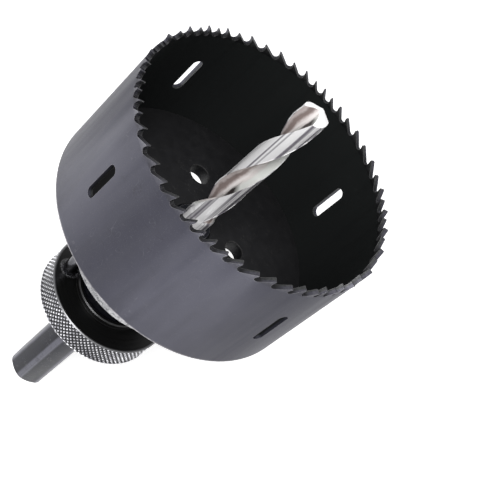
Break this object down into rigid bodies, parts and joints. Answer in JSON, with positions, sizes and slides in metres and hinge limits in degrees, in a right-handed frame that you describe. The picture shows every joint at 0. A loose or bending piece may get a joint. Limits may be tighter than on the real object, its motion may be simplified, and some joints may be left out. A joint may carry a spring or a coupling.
{
  "type": "hole saw",
  "caption": "Hole saw cup on a hex shank arbor with a knurled sliding drive collar and a pilot twist drill.",
  "frame": {"origin": "centre of the hex shank's end face", "axes": "+Z along the tool's axis from the shank to the teeth, +X square to the picture's view, which looks along +Y and down"},
  "size_m": [0.0806, 0.0804, 0.154],
  "materials": {
    "cup_coat": "matte dark grey coat",
    "black_oxide": "black oxide, knurled on the collar",
    "pin_steel": "ground",
    "spring_steel": "phosphated",
    "bright_steel": "polished"
  },
  "bodies": {
    "saw": {"saw_wall": "cup_coat", "base_plate": "cup_coat", "arbor_body": "black_oxide", "retaining_ring": "spring_steel", "pilot_drill": "bright_steel", "set_screw": "black_oxide"},
    "collar": {"drive_collar": "black_oxide", "drive_pin_near": "pin_steel", "drive_pin_far": "pin_steel"}
  },
  "joints": [
    {"name": "collar_slide", "type": "slide", "parent": "saw", "child": "collar", "axis": [0, 0, 1], "range_m": [0, 0.0143]}
  ]
}
